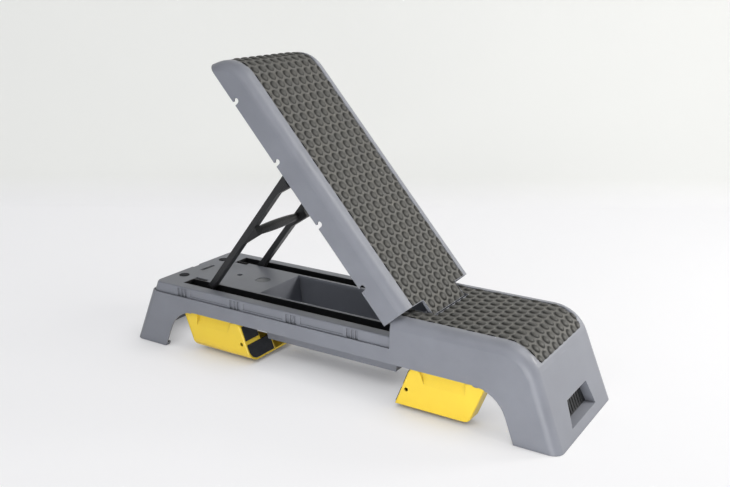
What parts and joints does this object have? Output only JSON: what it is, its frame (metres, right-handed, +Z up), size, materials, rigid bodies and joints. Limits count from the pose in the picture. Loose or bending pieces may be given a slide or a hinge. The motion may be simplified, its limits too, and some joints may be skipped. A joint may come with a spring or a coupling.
{
  "type": "aerobic step",
  "caption": "Long low aerobic step with a reclining padded backrest on a folding strut, a storage tub in its deck and riser legs folded under its beam.",
  "frame": {"origin": "on the floor under the middle of the base", "axes": "+X towards the seat end, +Y towards the back side, +Z up"},
  "size_m": [1.1126, 0.313, 0.6994],
  "materials": {
    "grey_plastic": "moulded polypropylene, fine texture",
    "black_plastic": "moulded nylon",
    "yellow_plastic": "moulded polypropylene",
    "mat_rubber": "non-slip mat with raised oval studs",
    "pad_rubber": "soft rubber pads",
    "steel": "zinc plated"
  },
  "bodies": {
    "base": {"base_shell": "grey_plastic", "bumper_back": "pad_rubber", "bumper_front": "pad_rubber", "deck_tray": "grey_plastic", "floor_pad_left_back": "pad_rubber", "floor_pad_left_front": "pad_rubber", "floor_pad_right_back": "pad_rubber", "floor_pad_right_front": "pad_rubber", "hand_hold_plate": "black_plastic", "hinge_bush_back": "black_plastic", "hinge_bush_front": "black_plastic", "hinge_rod": "steel", "leg_left_pin_back": "steel", "leg_left_pin_front": "steel", "leg_right_pin_back": "steel", "leg_right_pin_front": "steel", "rack_rail_back": "black_plastic", "rack_rail_front": "black_plastic", "seat_mat": "mat_rubber"},
    "backrest": {"backrest_mat": "mat_rubber", "backrest_shell": "grey_plastic", "strut_fork_back": "black_plastic", "strut_fork_front": "black_plastic", "strut_pin_back": "steel", "strut_pin_front": "steel"},
    "strut": {"strut_arm_back": "black_plastic", "strut_arm_front": "black_plastic", "strut_cross_bar": "black_plastic", "strut_grip": "black_plastic", "strut_shoe_back": "black_plastic", "strut_shoe_front": "black_plastic"},
    "leg_left": {"leg_left": "yellow_plastic", "leg_left_pad_lower_back": "pad_rubber", "leg_left_pad_lower_front": "pad_rubber", "leg_left_pad_upper_back": "pad_rubber", "leg_left_pad_upper_front": "pad_rubber"},
    "leg_right": {"leg_right": "yellow_plastic", "leg_right_pad_lower_back": "pad_rubber", "leg_right_pad_lower_front": "pad_rubber", "leg_right_pad_upper_back": "pad_rubber", "leg_right_pad_upper_front": "pad_rubber"}
  },
  "joints": [
    {"name": "backrest_hinge", "type": "hinge", "parent": "base", "child": "backrest", "pos_m": [0.2198, 0, 0.1687], "axis": [0, 1, 0], "range_deg": [-4.5, 10]},
    {"name": "strut_pivot", "type": "hinge", "parent": "backrest", "child": "strut", "pos_m": [-0.0684, 0, 0.517], "axis": [0, 1, 0], "range_deg": [-20.5, 9.5]},
    {"name": "left_leg_hinge", "type": "hinge", "parent": "base", "child": "leg_left", "pos_m": [-0.38779, 0, 0.106], "axis": [0, 1, 0], "range_deg": [0, 111.4]},
    {"name": "right_leg_hinge", "type": "hinge", "parent": "base", "child": "leg_right", "pos_m": [0.36879, 0, 0.106], "axis": [0, -1, 0], "range_deg": [0, 111.4]}
  ],
  "couplings": [
    {"joint": "strut_pivot", "follows": "backrest_hinge", "ratio": -2}
  ]
}
